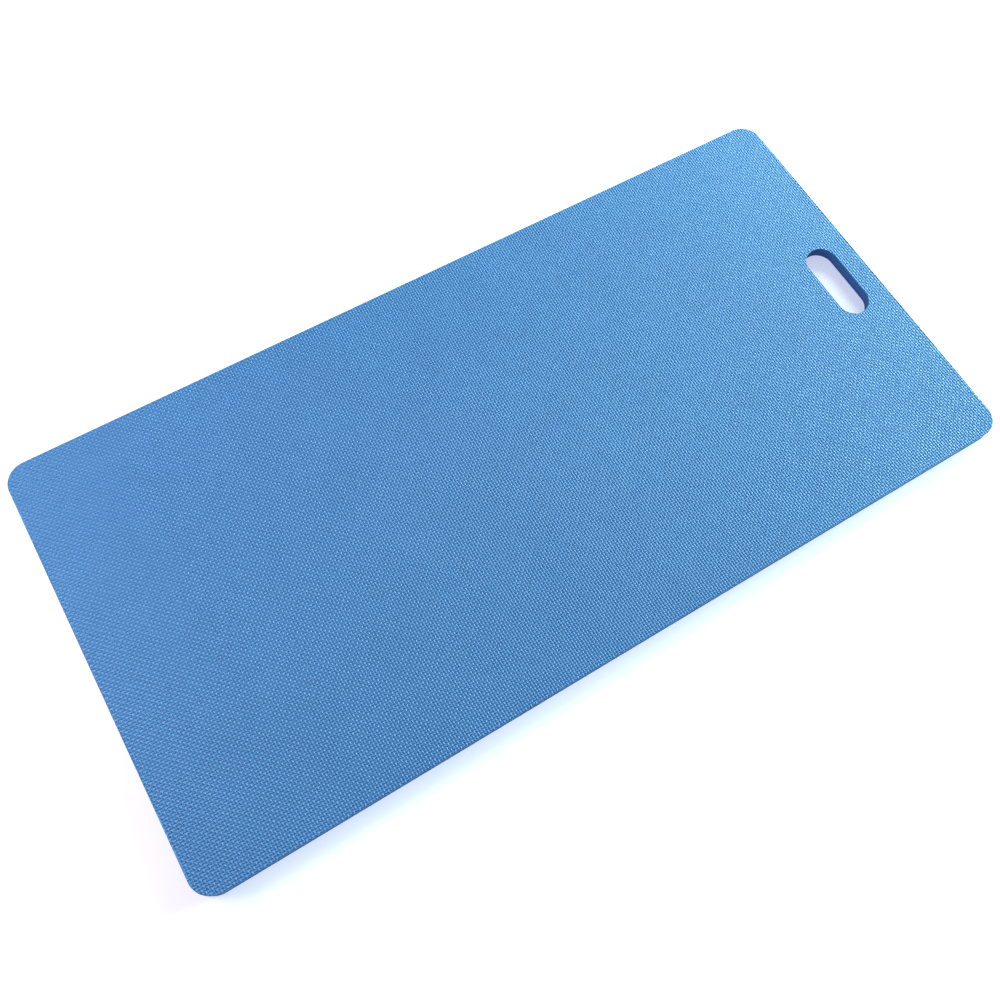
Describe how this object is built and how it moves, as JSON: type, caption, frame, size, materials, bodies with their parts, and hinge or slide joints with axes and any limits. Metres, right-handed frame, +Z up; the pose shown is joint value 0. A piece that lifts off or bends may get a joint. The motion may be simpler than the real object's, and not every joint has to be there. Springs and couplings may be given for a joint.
{
  "type": "exercise mat",
  "caption": "Flat rounded rectangular mat of embossed blue closed-cell foam with a stadium-shaped hand slot near one short end, for standing, balance and floor exercises.",
  "frame": {"origin": "middle of the underside, on the floor", "axes": "+X along the mat towards the end with the hand slot, +Y across the mat, +Z up through its thickness"},
  "size_m": [1, 0.5, 0.015],
  "materials": {
    "embossed_skin": "satin closed-cell foam skin with a fine embossed plain-weave grain",
    "cut_foam": "matt cut face of closed-cell foam"
  },
  "bodies": {
    "root": {"top_skin": "embossed_skin", "foam_core": "cut_foam", "bottom_skin": "embossed_skin"}
  },
  "joints": []
}
